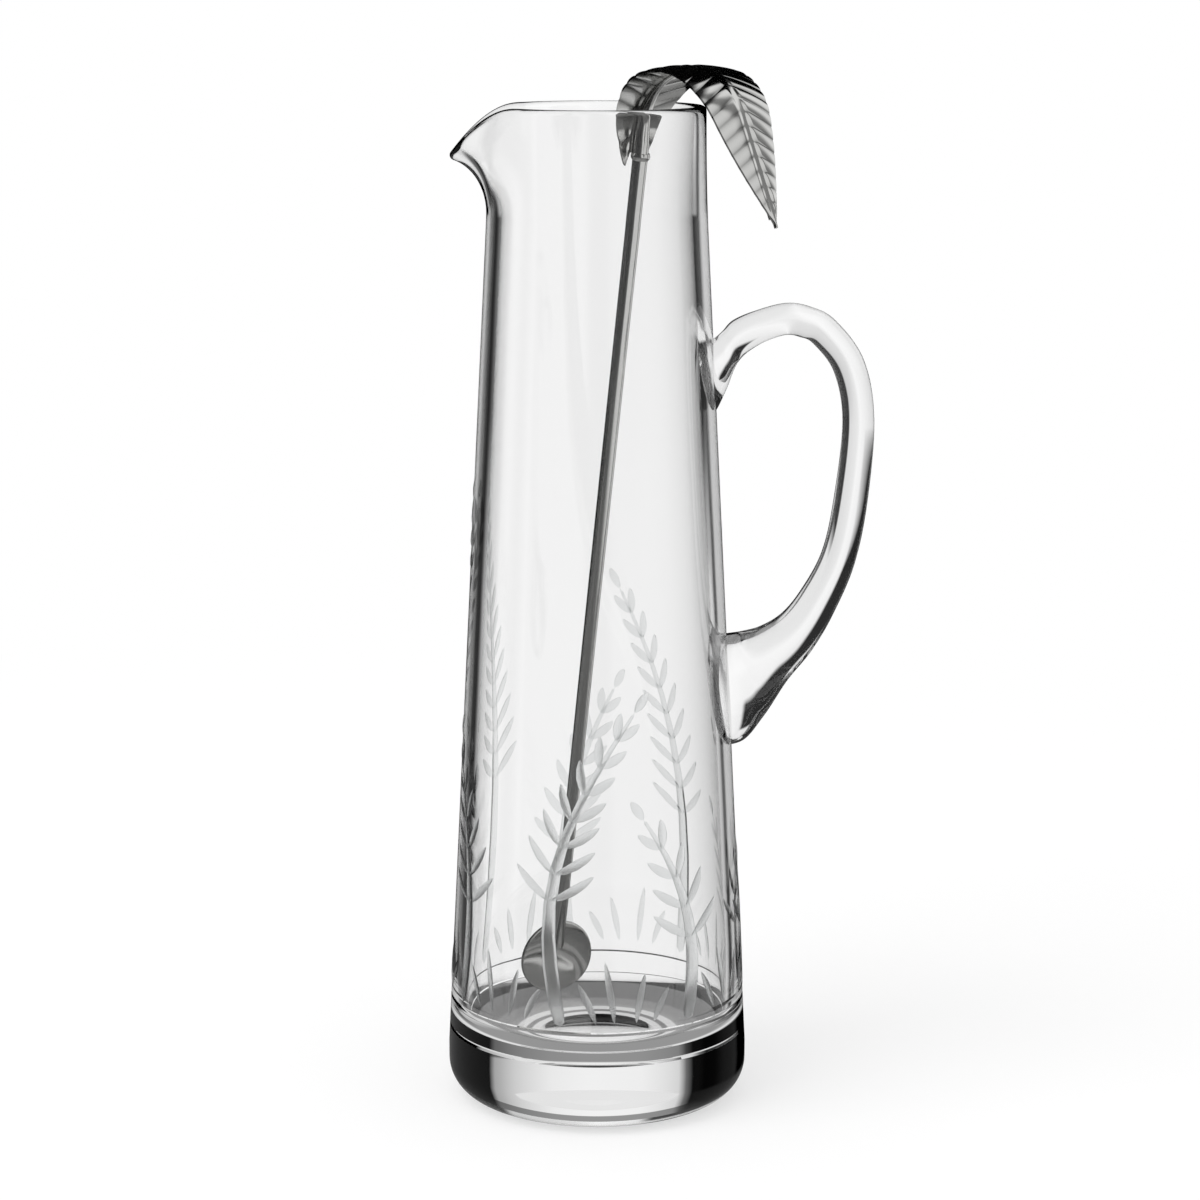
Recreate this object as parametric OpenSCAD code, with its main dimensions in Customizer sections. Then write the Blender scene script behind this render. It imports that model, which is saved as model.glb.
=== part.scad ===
// Cocktail pitcher of blown glass with a pulled lip and an applied handle, and a
// metal stirrer whose leaf arches over the rim. The origin is on the pitcher's
// axis, in the plane that it stands on. The handle lies toward +X, the lip -X.

/* [Pitcher body] */
// Height of the rim above the table
rim_h = 300; // [260:1:340]
// Radius at the widest place, just above the heel
body_r = 45.4; // [42:0.1:52]
// Radius where the cone ends and the neck begins
shoulder_r = 32.8; // [32.5:0.1:35]
// Radius of the neck under the rim
neck_r = 32; // [30:0.1:32.4]
// Length of the neck, from the cone to the rim
neck_len = 38; // [36:1:60]
// Height of the widest place
belly_h = 16; // [13:0.5:20]
// Wall thickness of the body
wall_t = 4.4; // [3.6:0.1:5.2]
// Wall thickness at the rim
rim_t = 3; // [2.4:0.1:3.6]
// Thickness of the solid base
base_t = 23; // [17:0.5:30]
// Radius between the wall and the floor inside
floor_fillet_r = 8; // [5:0.5:10]
// Radius of the heel
heel_r = 11; // [8:0.5:13]
// Radius of the polished hollow under the base
pontil_r = 18.5; // [12:0.5:24]
// Depth of that hollow
pontil_depth = 1.5; // [0.8:0.1:3]

/* [Cut rings] */
// Height of the lower cut ring
low_ring_h = 22.1; // [20:0.1:26]
// Distance from the lower ring up to the upper one
ring_gap = 9.3; // [5:0.1:14]
// Width of a cut ring
ring_w = 1.2; // [1:0.1:2.4]
// Depth of a cut ring
ring_depth = 0.45; // [0.3:0.05:1]

/* [Lip] */
// How far the lip is pulled out past the neck
lip_reach = 10; // [5:0.5:14]
// How far the lip droops below the rim
lip_drop = 14.3; // [6:0.1:18]
// Height of the flare under the lip
flare_h = 30.5; // [26:0.5:34]
// Angle from the middle of the lip to where the rim is round again
lip_half_angle = 45; // [35:1:60]
// Angle through which the flare turns outward
flare_turn = 75; // [60:1:80]

/* [Handle] */
// Diameter of the glass strand
strand_d = 9.5; // [8:0.1:12]
// How far the strand's middle stands off the wall
handle_reach = 42; // [36:0.5:50]
// Height of the middle of the lower pad
handle_low_h = 125; // [115:1:135]
// Distance from the rim down to the top of the arch's middle line
handle_top_drop = 62.5; // [58:0.5:75]

/* [Stirrer] */
// Diameter of the rod at its top
rod_d = 4.5; // [3.5:0.1:6]
// Diameter of the rod at its foot
rod_foot_d = 3.9; // [3:0.1:5]
// Distance from the rim down to the top of the rod
rod_top_drop = 14.5; // [10:0.5:20]
// How far the rod leans over from its foot to its top
rod_run = 34.6; // [24:0.2:38]
// Direction of the lean, turned from the handle toward the front
stirrer_turn = 42; // [30:1:55]
// Place of the paddle's middle on the floor, along X
paddle_x = -13; // [-16:0.5:-8]
// Place of the paddle's middle on the floor, along Y
paddle_y = 21.5; // [16:0.5:23]
// Diameter of the paddle
paddle_d = 24.4; // [18:0.2:26]
// Thickness of the paddle
paddle_t = 1.2; // [0.8:0.1:2]
// Turn of the paddle about the rod, from the plane of the rod's lean
paddle_turn = 67; // [0:1:80]
// Length of the slot in which the rod holds the paddle
slot_len = 8.5; // [5:0.1:10]
// Gap between the paddle and the floor of the pitcher
stand_gap = 0.2; // [0.1:0.05:0.5]

/* [Leaf] */
// Half of the leaf's width at its widest
leaf_half_w = 14; // [10:0.5:15]
// Thickness of the leaf's sheet
leaf_t = 1.2; // [0.8:0.1:1.6]
// Straight length of the leaf above the rod
leaf_leg = 4.5; // [3:0.5:12]
// Radius of the arch over the rim
arch_r = 24.5; // [18:0.5:26]
// Angle through which the arch turns
arch_turn = 146; // [135:1:160]
// Straight length of the leaf that hangs outside
leaf_drop = 33; // [24:0.5:44]
// Turn of the arch about the rod, from the plane of the rod's lean toward the front
leaf_turn = 8; // [0:1:20]
// How far the two lobes at the leaf's base hang down beside the rod
lobe_drop = 4.5; // [0:0.5:6]
// Length over which the lobes merge into the blade
lobe_len = 20; // [15:1:30]
// Distance from one vein to the next
vein_pitch = 4.6; // [3.6:0.1:6]
// Height of the embossed veins
vein_h = 0.55; // [0.2:0.05:0.8]
// How far the edges bend down from the midrib
leaf_camber = 1; // [0.5:0.1:3]
// Length over which the stalk narrows to the midrib
stalk_len = 30; // [20:1:40]
// Half of the width of the leaf's tip
leaf_tip_w = 0.4; // [0.2:0.05:0.8]

/* [Hidden] */

// How deep the blown neck is fused into the top of the cone
fuse_depth = 0.5;
// How far its surfaces lie inside those of the cone there
fuse_inset = 0.1;
// Overrun of cuts
cut_over = 1;
// Heading of the lip, opposite the handle
lip_heading = 180;
// Chamfer at the foot of the rod and round the paddle
metal_chamfer = 0.3;

// Counts of sides, rings and steps
body_fn = 180;
rod_fn = 48;
paddle_fn = 96;
arc_steps = 8;
lip_sides = 28;
neck_sides = 44;
neck_steps = 3;
flare_steps = 10;
rim_steps = 6;
strand_sides = 16;
strand_steps = 3;
vein_steps = 4;

// Derived sizes of the pitcher
join_z = rim_h - neck_len;
flare_z = rim_h - flare_h - rim_t / 2;
cone_slope = (body_r - shoulder_r) / (join_z - belly_h);
neck_rise = rim_h - rim_t / 2 - join_z;
fillet_z = base_t + floor_fillet_r;
fillet_r = wall_r_at(fillet_z) - wall_t;
handle_top_z = rim_h - handle_top_drop;

// Derived sizes of the stirrer
rod_r = rod_d / 2;
rod_foot_r = rod_foot_d / 2;
paddle_r = paddle_d / 2;
// Share of the paddle's edge that its small tilt takes off its height. The tilt
// is worked out for a rise from the floor itself, which changes it by under 1%.
tilt_sine = sin(paddle_turn) * sin(atan(rod_run / (rim_h - rod_top_drop - base_t - paddle_r)));
paddle_drop = paddle_r * sqrt(1 - pow(tilt_sine, 2)) + paddle_t / 2 * abs(tilt_sine);
foot_z = base_t + stand_gap + paddle_drop;
rod_rise = rim_h - rod_top_drop - foot_z;
rod_lean = atan(rod_run / rod_rise);
rod_len = norm([rod_run, rod_rise]);
rod_foot = paddle_r - slot_len;
leaf_arc = arch_r * arch_turn * PI / 180;
leaf_len = leaf_leg + leaf_arc + leaf_drop;
leaf_rows = ceil(leaf_len / vein_pitch * vein_steps);

// Radius of the cone's outside at a height
function wall_r_at(z) = body_r - max(0, z - belly_h) * cone_slope;

function mix(a, b, t) = a + (b - a) * t;
function smooth(t) = let (c = min(1, max(0, t))) c * c * (3 - 2 * c);

// Points of an arc, from one angle to another
function arc(x, z, r, from, to) =
    [for (i = [0:arc_steps]) let (a = mix(from, to, i / arc_steps)) [x + r * cos(a), z + r * sin(a)]];

// Faces of a grid of rings that closes on itself both ways
function ring_faces(rings, sides) =
    [for (i = [0:rings - 1], j = [0:sides - 1])
        let (k = (j + 1) % sides, n = (i + 1) % rings)
        each [[i * sides + j, n * sides + k, i * sides + k],
              [i * sides + j, n * sides + j, n * sides + k]]];

// Faces of a tube of rings with flat ends
function tube_faces(rings, sides) = concat(
    [for (i = [0:rings - 2], j = [0:sides - 1])
        let (k = (j + 1) % sides, n = i + 1)
        each [[i * sides + j, n * sides + k, i * sides + k],
              [i * sides + j, n * sides + j, n * sides + k]]],
    [[for (j = [0:sides - 1]) j]],
    [[for (j = [sides - 1:-1:0]) (rings - 1) * sides + j]]);

// Faces of a sheet: an upper grid of rows and columns, and a lower one
function sheet_faces(rows, cols) =
    let (low = rows * cols)
    concat(
        [for (i = [0:rows - 2], j = [0:cols - 2])
            let (p = i * cols + j)
            each [[p, p + cols, p + cols + 1], [p, p + cols + 1, p + 1]]],
        [for (i = [0:rows - 2], j = [0:cols - 2])
            let (p = low + i * cols + j)
            each [[p, p + cols + 1, p + cols], [p, p + 1, p + cols + 1]]],
        [for (j = [0:cols - 2])
            let (p = j, q = (rows - 1) * cols + j)
            each [[p, p + 1, low + p + 1], [p, low + p + 1, low + p],
                  [q, low + q + 1, q + 1], [q, low + q, low + q + 1]]],
        [for (i = [0:rows - 2])
            let (p = i * cols, q = i * cols + cols - 1)
            each [[p, low + p + cols, p + cols], [p, low + p, low + p + cols],
                  [q, q + cols, low + q + cols], [q, low + q + cols, low + q]]]);

// Pitcher body: a revolved base and cone

module cone_profile() {
    pontil = [for (i = [0:arc_steps]) let (s = i / arc_steps) [pontil_r * s, pontil_depth * (1 - s * s)]];
    heel = arc(body_r - heel_r, heel_r, heel_r, -90, 0);
    shoulder = [[body_r, belly_h], [shoulder_r, join_z], [shoulder_r - wall_t, join_z]];
    fillet = arc(fillet_r - floor_fillet_r, fillet_z, floor_fillet_r, 0, -90);
    polygon(concat(pontil, heel, shoulder, fillet, [[0, base_t]]));
}

module ring_cut(z) {
    r = wall_r_at(z);
    half = ring_w / 2;
    rotate_extrude($fn = body_fn)
        polygon([[r - ring_depth, z], [r + cut_over, z - half - half * cut_over / ring_depth],
                 [r + cut_over, z + half + half * cut_over / ring_depth]]);
}

// Pitcher body: the blown neck, lofted round the rim with its pulled lip

function lip_angles() =
    let (from = lip_heading - lip_half_angle, to = lip_heading + lip_half_angle)
    concat([for (i = [0:lip_sides - 1]) mix(from, to, i / lip_sides)],
           [for (i = [0:neck_sides - 1]) mix(to, from + 360, i / neck_sides)]);

// Weight of the lip at an angle: 1 in its middle, 0 where the rim is round
function lip_weight(a) =
    let (off = abs(a - lip_heading))
    off < lip_half_angle ? pow(cos(90 * off / lip_half_angle), 2) : 0;

// Radius of the neck at a height: it leaves the cone at the cone's own slope and
// stands upright at the rim
function neck_r_at(z) =
    let (t = min(1, max(0, (z - join_z) / neck_rise)))
    mix(shoulder_r, neck_r, smooth(t)) - cone_slope * neck_rise * t * pow(1 - t, 2);

// Radius and height of the neck's outside, or its inside, below the flare
function neck_point(t, inset) =
    let (z = mix(join_z, flare_z, t))
    [neck_r_at(z) - inset, z];

// The same on the flare, whose turn is drawn out by the lip's weight
function flare_point(t, weight, inset) =
    let (end_z = rim_h - rim_t / 2 - lip_drop * pow(weight, 1.5),
         reach = lip_reach * weight / (1 - cos(flare_turn)),
         rise = (end_z - flare_z) / sin(flare_turn),
         a = flare_turn * t,
         along = [reach * sin(a), rise * cos(a)],
         normal = [-along[1], along[0]] / norm(along))
    [neck_r_at(flare_z + rise * sin(a)) + reach * (1 - cos(a)), flare_z + rise * sin(a)] + normal * inset;

// The rounded rim, from the outside over to the inside
function rim_point(t, weight) =
    let (outer = flare_point(1, weight, 0),
         inner = flare_point(1, weight, rim_t),
         across = (inner - outer) / 2,
         up = [across[1], -across[0]])
    (outer + inner) / 2 - across * cos(180 * t) + up * sin(180 * t);

function wall_at(t) = mix(wall_t, rim_t, t);

// The closed outline of the neck's wall at one angle
function neck_outline(weight) = concat(
    [[shoulder_r - fuse_inset, join_z - fuse_depth]],
    [[shoulder_r - fuse_inset, join_z]],
    [for (i = [1:neck_steps]) neck_point(i / neck_steps, 0)],
    [for (i = [1:flare_steps]) flare_point(i / flare_steps, weight, 0)],
    [for (i = [1:rim_steps - 1]) rim_point(i / rim_steps, weight)],
    [for (i = [flare_steps:-1:1]) flare_point(i / flare_steps, weight, wall_at(i / flare_steps))],
    [for (i = [neck_steps:-1:1]) neck_point(i / neck_steps, wall_t)],
    [[shoulder_r - wall_t + fuse_inset, join_z]],
    [[shoulder_r - wall_t + fuse_inset, join_z - fuse_depth]]);

module neck() {
    angles = lip_angles();
    outlines = [for (a = angles) neck_outline(lip_weight(a))];
    rings = len(outlines[0]);
    points = [for (i = [0:rings - 1], j = [0:len(angles) - 1])
        [outlines[j][i][0] * cos(angles[j]), outlines[j][i][0] * sin(angles[j]), outlines[j][i][1]]];
    polyhedron(points, ring_faces(rings, len(angles)));
}

module pitcher_body() {
    color("gainsboro") {
        difference() {
            rotate_extrude($fn = body_fn) cone_profile();
            ring_cut(low_ring_h);
            ring_cut(low_ring_h + ring_gap);
        }
        neck();
    }
}

// Pitcher handle: a strand swept along an arch, swelling into its two pads

// Stations: share of the reach off the wall, share of the height, thickness and
// width as shares of the strand's radius, and the angle of the thickness
handle_stations_share = [
    [-0.093, 0.844, 2.20, 1.40, 90], [-0.010, 0.849, 2.36, 1.40, 90], [0.070, 0.889, 1.90, 1.25, 93],
    [0.157, 0.942, 1.32, 1.12, 97], [0.312, 0.977, 1.07, 1.03, 96], [0.512, 1.000, 1.00, 1.00, 88],
    [0.657, 0.992, 1.00, 1.00, 68], [0.786, 0.965, 1.00, 1.00, 46], [0.948, 0.876, 1.01, 1.00, 18],
    [1.000, 0.732, 1.00, 1.00, 2], [0.924, 0.519, 1.07, 1.00, -9], [0.820, 0.364, 1.11, 1.05, -20],
    [0.657, 0.244, 1.28, 1.12, -35], [0.502, 0.162, 1.54, 1.20, -52], [0.329, 0.102, 1.98, 1.32, -65],
    [0.174, 0.047, 2.86, 1.50, -76], [0.043, 0.012, 3.50, 1.75, -81], [-0.114, 0.000, 3.58, 1.80, -84]];

// A smooth curve through the stations, which leaves each one in the direction
// from the station before it to the one after it
function curve_at(p, i, t) =
    let (last = len(p) - 1,
         leave = (p[i + 1] - p[max(0, i - 1)]) / 2,
         arrive = (p[min(last, i + 2)] - p[i]) / 2)
    mix(p[i], p[i + 1], smooth(t)) + leave * t * pow(1 - t, 2) - arrive * pow(t, 2) * (1 - t);

function strand_ring(s) =
    let (z = mix(handle_low_h, handle_top_z, s[1]),
         x = wall_r_at(z) + handle_reach * s[0],
         half = strand_d / 2 * s[2],
         side = strand_d / 2 * s[3])
    [for (j = [0:strand_sides - 1])
        let (a = 360 * j / strand_sides)
        [x + half * cos(a) * cos(s[4]), side * sin(a), z + half * cos(a) * sin(s[4])]];

module strand() {
    stations = handle_stations_share;
    last = len(stations) - 1;
    fine = concat(
        [for (i = [0:last - 1], k = [0:strand_steps - 1]) curve_at(stations, i, k / strand_steps)],
        [stations[last]]);
    points = [for (s = fine) each strand_ring(s)];
    polyhedron(points, tube_faces(len(fine), strand_sides));
}

// The space that the body fills, up to the top of its cone
module body_space() {
    rotate_extrude($fn = body_fn)
        polygon([[0, belly_h], [body_r, belly_h], [shoulder_r, join_z], [0, join_z]]);
}

module pitcher_handle() {
    color("whitesmoke") difference() {
        strand();
        body_space();
    }
}

// Stirrer: placed with its foot on the floor and its rod leaning to the rim

module stirrer_place() {
    translate([paddle_x, paddle_y, foot_z])
        rotate([0, 0, -stirrer_turn])
            rotate([0, rod_lean, 0])
                children();
}

module paddle_disc(edge) {
    rotate([0, 0, paddle_turn]) rotate([90, 0, 0]) {
        cylinder(h = paddle_t - 2 * edge, r = paddle_r, center = true, $fn = paddle_fn);
        if (edge > 0) for (side = [0, 180])
            rotate([side, 0, 0]) translate([0, 0, paddle_t / 2 - edge])
                cylinder(h = edge, r1 = paddle_r, r2 = paddle_r - edge, $fn = paddle_fn);
    }
}

module stirrer_rod() {
    color("dimgray") stirrer_place() difference() {
        union() {
            translate([0, 0, rod_foot])
                cylinder(h = metal_chamfer, r1 = rod_foot_r - metal_chamfer, r2 = rod_foot_r, $fn = rod_fn);
            translate([0, 0, rod_foot + metal_chamfer])
                cylinder(h = rod_len - rod_foot - metal_chamfer, r1 = rod_foot_r, r2 = rod_r, $fn = rod_fn);
        }
        paddle_disc(0);
    }
}

module stirrer_paddle() {
    color("silver") stirrer_place() paddle_disc(metal_chamfer);
}

// Stirrer leaf: one sheet with veins, and its stalk under the midrib

// Columns across half of the leaf: those of the stalk as shares of its radius,
// and those of the blade as shares of what is left of the half width
stalk_columns_share = [0, 0.5, 0.87, 1, 1.05];
blade_columns_share = [0.33, 0.7, 1];
// Shape of the blade: width at its base, place of its widest, and its taper
blade_base_share = 0.25;
blade_wide_share = 0.25;
blade_taper_share = 1.13;
// Slant of the veins, as length forward for each length outward
vein_slant_share = 0.54;
// Radius of the midrib, and the most of the half width that it takes
midrib_share = 0.25;
stalk_limit_share = 0.7;

// Middle of the sheet at a length along the midrib, in the plane of the arch
function leaf_place(s) =
    let (x0 = -rod_r - leaf_t / 2,
         a = min(arch_turn, max(0, s - leaf_leg) / arch_r * 180 / PI),
         rest = s < leaf_leg ? s - leaf_leg : max(0, s - leaf_leg - leaf_arc))
    [x0 + arch_r * (1 - cos(a)) + rest * sin(a), rod_len + leaf_leg + arch_r * sin(a) + rest * cos(a)];

// Direction of its outer side there
function leaf_normal(s) =
    let (a = min(arch_turn, max(0, s - leaf_leg) / arch_r * 180 / PI))
    [-cos(a), sin(a)];

function leaf_half(s) =
    let (u = s / leaf_len,
         rising = blade_base_share + (1 - blade_base_share) * sin(90 * min(1, u / blade_wide_share)),
         over = max(0, u - blade_wide_share) / (1 - blade_wide_share))
    max(leaf_tip_w, leaf_half_w * (u < blade_wide_share ? rising : cos(90 * pow(over, blade_taper_share))));

function stalk_r_at(s) =
    min(rod_r * mix(1, midrib_share, smooth(s / stalk_len)), leaf_half(s) * stalk_limit_share);

// Column: how far outward, the stalk's depth there, and the share of the blade
function leaf_column(s, side, j) =
    let (r = stalk_r_at(s),
         last = len(stalk_columns_share) - 1,
         c = stalk_columns_share[min(j, last)],
         blade = j > last ? blade_columns_share[j - last - 1] : 0,
         y = c * r + blade * (leaf_half(s) - c * r),
         depth = c > 1 || j > last ? 0 : r + r * sqrt(1 - c * c))
    [side * y, depth, blade];

function leaf_columns(s) =
    let (n = len(stalk_columns_share) + len(blade_columns_share))
    concat([for (j = [n - 1:-1:1]) leaf_column(s, -1, j)], [for (j = [0:n - 1]) leaf_column(s, 1, j)]);

// A point of the leaf's upper side, or of its lower one
function leaf_point(s, column, lower) =
    let (edge = stalk_columns_share[len(stalk_columns_share) - 1] * stalk_r_at(s),
         lobe = lobe_drop * column[2] * (1 - smooth(s / lobe_len)),
         at = s + vein_slant_share * max(0, abs(column[0]) - edge) - lobe,
         wave = (1 + cos(360 * s / vein_pitch)) / 2,
         fade = column[2] > 0 && column[2] < 1 ? 1 - smooth(s / leaf_len) * column[2] / 2 : 0,
         lift = vein_h * wave * fade - leaf_camber * pow(column[2], 2) * leaf_half(s) / leaf_half_w,
         off = lift + (lower ? -leaf_t / 2 - column[1] : leaf_t / 2),
         p = leaf_place(at) + leaf_normal(at) * off)
    [p[0], column[0], p[1]];

module stirrer_leaf() {
    rows = [for (i = [0:leaf_rows]) leaf_len * i / leaf_rows];
    columns = [for (s = rows) leaf_columns(s)];
    cols = len(columns[0]);
    points = [for (lower = [false, true], i = [0:leaf_rows], j = [0:cols - 1])
        leaf_point(rows[i], columns[i][j], lower)];
    color("darkgray") stirrer_place() rotate([0, 0, -leaf_turn])
        polyhedron(points, sheet_faces(leaf_rows + 1, cols));
}

pitcher_body();
pitcher_handle();
stirrer_rod();
stirrer_leaf();
stirrer_paddle();
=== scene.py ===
# Looks of a blown glass cocktail pitcher and the metal stirrer that stands in it.
# Sizes in the dictionaries are millimetres and degrees; pieces are made in
# millimetres and turned to metres when they are finished.
import math

import bmesh
import bpy
from mathutils import Matrix, Vector


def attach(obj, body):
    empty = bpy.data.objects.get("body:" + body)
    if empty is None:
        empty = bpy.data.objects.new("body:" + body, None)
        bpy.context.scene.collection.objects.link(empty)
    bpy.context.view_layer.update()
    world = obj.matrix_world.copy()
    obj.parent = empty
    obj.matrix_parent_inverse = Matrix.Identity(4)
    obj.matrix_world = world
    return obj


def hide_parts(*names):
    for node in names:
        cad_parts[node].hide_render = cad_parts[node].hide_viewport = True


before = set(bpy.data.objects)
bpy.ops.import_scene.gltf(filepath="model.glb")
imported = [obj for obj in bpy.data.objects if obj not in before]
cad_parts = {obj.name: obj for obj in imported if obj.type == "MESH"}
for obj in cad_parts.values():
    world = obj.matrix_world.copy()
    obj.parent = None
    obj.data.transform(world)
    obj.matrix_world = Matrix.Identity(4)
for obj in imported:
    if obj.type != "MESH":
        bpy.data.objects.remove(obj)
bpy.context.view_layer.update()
mm = 0.001
mergeGap = 0.0005      # points closer than this, in millimetres, are one

camera = {
    "distance": 1000,
    "eyeHeight": 347.9,
    "tilt": 11.03,
    "focalPixels": 3396,   # focal length in pixels of the 1200 pixel frame
    "framePixels": 1200,
    "axisColumn": 597,     # pixel column of the pitcher's axis
    "sensor": 36,
}


# helpers
def addNode(tree, kind, settings=None, links=None):
    # a link's value is either another node's output or a plain value
    node = tree.nodes.new(kind)
    for name, value in (settings or {}).items():
        setattr(node, name, value)
    for name, value in (links or {}).items():
        if isinstance(value, bpy.types.NodeSocket):
            tree.links.new(value, node.inputs[name])
        else:
            node.inputs[name].default_value = value
    return node


def fromHex(text):
    # sRGB hex to the linear colour that shaders take
    parts = [int(text[i:i + 2], 16) / 255 for i in (1, 3, 5)]
    return [c / 12.92 if c <= 0.04045 else ((c + 0.055) / 1.055) ** 2.4 for c in parts] + [1]


def grey(level):
    return [level] * 3 + [1]


def fillRamp(ramp, stops):
    # stops are places from 0 to 1 with their grey levels
    while len(ramp.color_ramp.elements) < len(stops):
        ramp.color_ramp.elements.new(0.5)
    for element, (place, level) in zip(ramp.color_ramp.elements, stops):
        element.position = place
        element.color = grey(level)


def newMaterial(name):
    material = bpy.data.materials.new(name)
    material.use_nodes = True
    material.node_tree.nodes.clear()
    return material, material.node_tree


def mix(a, b, t):
    return a + (b - a) * t


def smoothStep(t):
    t = min(1, max(0, t))
    return t * t * (3 - 2 * t)


def arcPoints(x, z, radius, fromAngle, toAngle, steps):
    angles = [math.radians(mix(fromAngle, toAngle, i / steps)) for i in range(steps + 1)]
    return [(x + radius * math.cos(a), z + radius * math.sin(a)) for a in angles]


def spinOutline(points, segments):
    # a closed outline of (radius, height) turned round the upright axis
    bm = bmesh.new()
    verts = [bm.verts.new((r, 0, z)) for r, z in points]
    edges = [bm.edges.new(pair) for pair in zip(verts, verts[1:])]
    bmesh.ops.spin(bm, geom=verts + edges, axis=(0, 0, 1), cent=(0, 0, 0), steps=segments,
                   angle=math.tau, use_merge=True)
    bmesh.ops.remove_doubles(bm, verts=bm.verts, dist=mergeGap)
    bmesh.ops.recalc_face_normals(bm, faces=bm.faces)
    return bm


def circleMatrix(place, across, thick, wide, along):
    # stands a unit circle at place: thick along across, wide to the sides, facing along
    rows = [(across[i] * thick, (0, wide, 0)[i], along[i], place[i]) for i in range(3)]
    return Matrix((*rows, (0, 0, 0, 1)))


def bridgeCircles(bm, matrices, sides):
    # one skin over a row of circles, with closed ends
    ring = None
    for number, matrix in enumerate(matrices):
        made = bmesh.ops.create_circle(bm, cap_ends=number in (0, len(matrices) - 1), segments=sides,
                                       radius=1, matrix=matrix)
        nextRing = list({e for v in made["verts"] for e in v.link_edges})
        if ring:
            bmesh.ops.bridge_loops(bm, edges=ring + nextRing)
        ring = nextRing


def makePiece(bm, name, body, material, node=None, sharpAngle=35):
    bmesh.ops.scale(bm, vec=(mm, mm, mm), verts=bm.verts)
    mesh = bpy.data.meshes.new(name)
    bm.to_mesh(mesh)
    bm.free()
    mesh.shade_smooth()
    mesh.set_sharp_from_angle(angle=math.radians(sharpAngle))
    piece = bpy.data.objects.new(name, mesh)
    bpy.context.scene.collection.objects.link(piece)
    mesh.materials.append(material)
    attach(piece, body)
    if node:
        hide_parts(node)
    print("piece", name, len(mesh.polygons), "faces")
    return piece


# camera
eye = bpy.data.cameras.new("photoCamera")
eye.sensor_width = camera["sensor"]
eye.lens = camera["sensor"] * camera["focalPixels"] / camera["framePixels"]
eye.shift_x = 0.5 - camera["axisColumn"] / camera["framePixels"]
eyeObject = bpy.data.objects.new("photoCamera", eye)
eyeObject.location = (0, -camera["distance"] * mm, camera["eyeHeight"] * mm)
eyeObject.rotation_euler = (math.radians(90 - camera["tilt"]), 0, 0)
bpy.context.scene.collection.objects.link(eyeObject)
bpy.context.scene.camera = eyeObject
bpy.context.scene.view_settings.view_transform = "Standard"
print("camera set")


# studio: white paper sweep, soft box and black cards
# grey levels by heading, in degrees to the left of straight behind the pitcher
looks = {
    # the sweep seen through both thin walls, a little darker to the right
    "sweep": [(-180, 0.92), (-60, 0.6), (-30, 0.55), (-14, 0.8), (-5, 0.97), (14, 1.0), (40, 1.0),
              (180, 0.92)],
    # bent by solid glass, level, up, down and steeply down: the lit part of the sweep
    # between the black cards
    "bent": [(-180, 0.8), (-78, 0.8), (-72, 0.02), (-29, 0.01), (-26, 0.6), (-6, 0.8), (0, 1.0),
             (11, 0.88), (15, 0.02), (74, 0.01), (78, 0.6), (106, 0.7), (180, 0.8)],
    "bentUp": [(-180, 0.8), (-78, 0.8), (-72, 0.02), (-29, 0.01), (-26, 0.6), (-6, 0.8), (0, 1.0),
               (11, 0.88), (40, 0.85), (106, 0.8), (180, 0.8)],
    "bentDown": [(-180, 0.8), (-78, 0.8), (-72, 0.02), (-30, 0.01), (-27, 0.75), (-6, 0.87), (0, 1.0),
                 (28, 0.85), (106, 0.8), (180, 0.8)],
    "bentSteep": [(-180, 0.8), (-78, 0.8), (-72, 0.02), (-50, 0.01), (-44, 0.8), (-6, 0.87), (0, 1.0),
                  (28, 0.85), (106, 0.8), (180, 0.8)],
    # the paper under the glass, seen through the standing ring
    "under": [(-180, 0.95), (-170, 0.75), (-167, 0.0), (-104, 0.0), (-101, 0.6), (-88, 0.95),
              (-79, 0.75), (-76, 0.0), (-16.2, 0.0), (-15.6, 0.4), (-14, 0.48), (-12.4, 0.59),
              (-10.8, 0.69), (-7.5, 0.83), (-5.8, 0.91), (-0.9, 0.98), (5.6, 0.95), (9.1, 0.83),
              (11.2, 0.73), (12.2, 0.66), (12.8, 0.0), (74, 0.0), (77, 0.6), (90, 0.95), (100, 0.75),
              (103, 0.0), (167, 0.0), (170, 0.6), (180, 0.95)],
    # turned back at a skin of the glass from inside, high up and low down
    "turned": [(-180, 0.03), (-170, 0.1), (-164, 0.74), (-78, 0.8), (-72, 0.1), (-46, 0.02),
               (-36, 0.02), (-30, 0.5), (-26, 0.72), (-6, 0.85), (3, 0.88), (12, 0.8), (18, 0.35),
               (22, 0.16), (28, 0.05), (38, 0.01), (42, 0.05), (48, 0.2), (74, 0.2), (78, 0.6),
               (106, 0.6), (110, 0.02), (180, 0.03)],
    "turnedLow": [(-180, 0.03), (-170, 0.1), (-164, 0.74), (-78, 0.8), (-44, 0.7), (-40, 0.45),
                  (-37.5, 0.03), (-33, 0.03), (-30.5, 0.5), (-28, 0.65), (-6, 0.85), (3, 0.87),
                  (11, 0.75), (16, 0.35), (20, 0.12), (27, 0.12), (31, 0.03), (38, 0.02), (41, 0.12),
                  (46, 0.5), (106, 0.6), (110, 0.02), (180, 0.03)],
    # mirrored by metal, and by the glass's outer skin
    "mirrored": [(-180, 0.08), (-174, 0.15), (-164, 0.85), (-95, 0.85), (-88, 0.25), (-76, 0.3),
                 (-64, 0.95), (-45, 1.0), (-38, 0.0), (64, 0.0), (76, 0.02), (160, 0.02), (180, 0.08)],
}
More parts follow.
